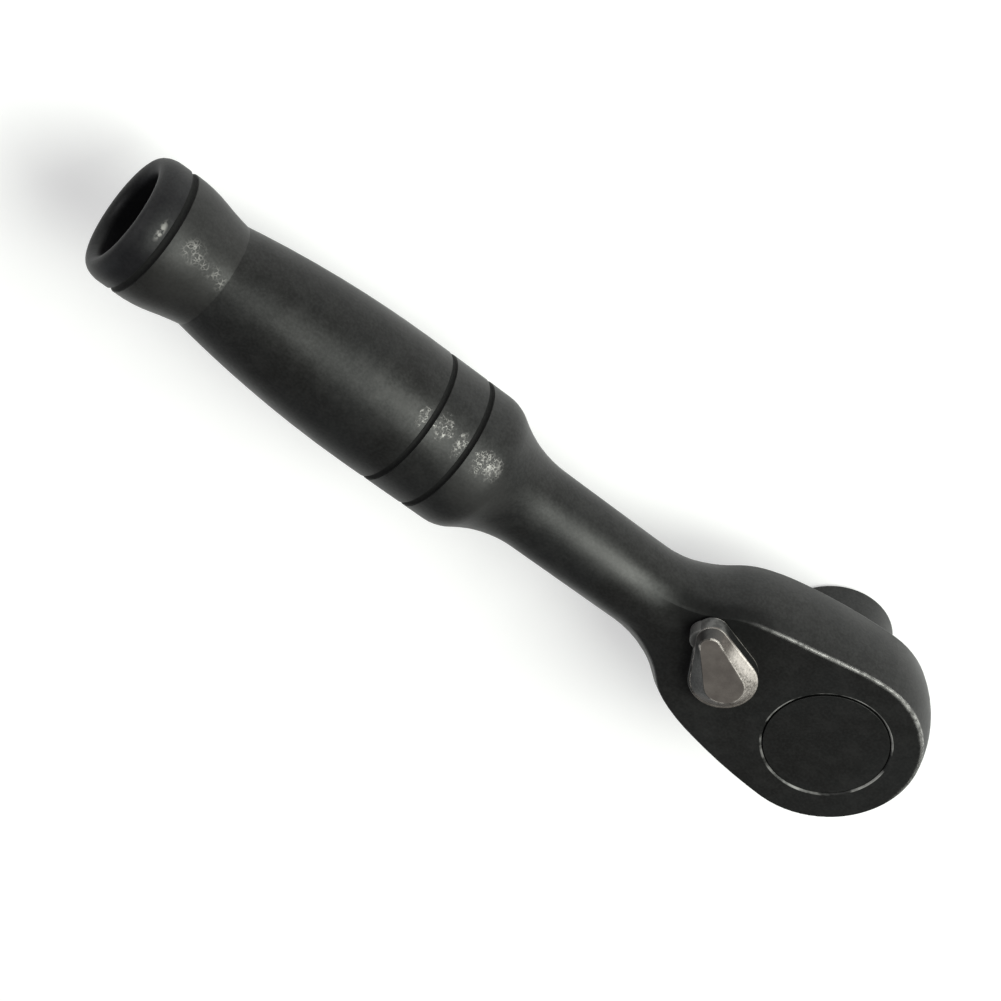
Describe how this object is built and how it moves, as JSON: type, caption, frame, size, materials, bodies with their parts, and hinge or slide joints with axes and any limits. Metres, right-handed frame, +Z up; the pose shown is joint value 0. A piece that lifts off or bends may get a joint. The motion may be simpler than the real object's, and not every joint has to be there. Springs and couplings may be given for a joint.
{
  "type": "ratchet wrench",
  "caption": "Short reversible ratchet wrench with a pear-shaped head, a round hexagon-socket boss, a thumb lever and a barrel grip with an open bored end.",
  "frame": {"origin": "on the drive axis, in the mouth plane of the hexagon socket at the end of the boss", "axes": "+X from the drive axis along the handle to its open end, +Z up out of the face that carries the lever"},
  "size_m": [0.1535, 0.0318, 0.0324],
  "materials": {
    "black_steel": "black oxide over forged steel, satin, rubbed bright on the high spots",
    "drive_steel": "black oxide over turned steel, satin",
    "worn_steel": "worn bare steel with traces of black",
    "tool_steel": "ground and oiled",
    "spring_steel": "bright spring steel",
    "screw_steel": "blackened screw heads",
    "washer_bronze": "plain bronze",
    "seal_rubber": "matte black rubber",
    "gasket_sheet": "thin fibre gasket"
  },
  "bodies": {
    "handle": {"handle_body": "black_steel", "upper_thrust_washer": "washer_bronze", "lower_thrust_washer": "washer_bronze", "cover_plate": "black_steel", "cover_gasket": "gasket_sheet", "cover_screws": "screw_steel", "boss_seal": "seal_rubber", "pawl_pin": "tool_steel"},
    "drive": {"drive_gear": "drive_steel", "disc_o_ring": "seal_rubber"},
    "pawl": {"pawl": "tool_steel"},
    "lever": {"reverse_lever": "worn_steel", "selector_shaft": "tool_steel", "lever_pin": "tool_steel", "shaft_o_ring": "seal_rubber", "shaft_thrust_washer": "washer_bronze", "plunger_spring": "spring_steel", "detent_spring": "spring_steel"},
    "plunger": {"selector_plunger": "tool_steel"},
    "ball": {"detent_ball": "spring_steel"}
  },
  "joints": [
    {"name": "drive_spin", "type": "hinge", "parent": "handle", "child": "drive", "pos_m": [0, 0, 0], "axis": [0, 0, 1], "continuous": true},
    {"name": "lever_turn", "type": "hinge", "parent": "handle", "child": "lever", "pos_m": [0.0211, 0, 0], "axis": [0, 0, 1], "range_deg": [0, 74]},
    {"name": "pawl_rock", "type": "hinge", "parent": "handle", "child": "pawl", "pos_m": [0.0151, 0, 0], "axis": [0, 0, 1], "range_deg": [-12, 0]},
    {"name": "plunger_slide", "type": "slide", "parent": "lever", "child": "plunger", "axis": [-0.7986, 0.6018, 0], "range_m": [-0.0006, 0], "stiffness_N_per_m": 400, "springref_m": 0.0012, "deforming": ["plunger_spring"]},
    {"name": "ball_slide", "type": "slide", "parent": "lever", "child": "ball", "axis": [0, 0, 1], "range_m": [0, 0.0003], "stiffness_N_per_m": 600, "springref_m": -0.0005, "deforming": ["detent_spring"]}
  ],
  "couplings": [
    {"joint": "pawl_rock", "follows": "lever_turn", "ratio": -0.16216}
  ]
}
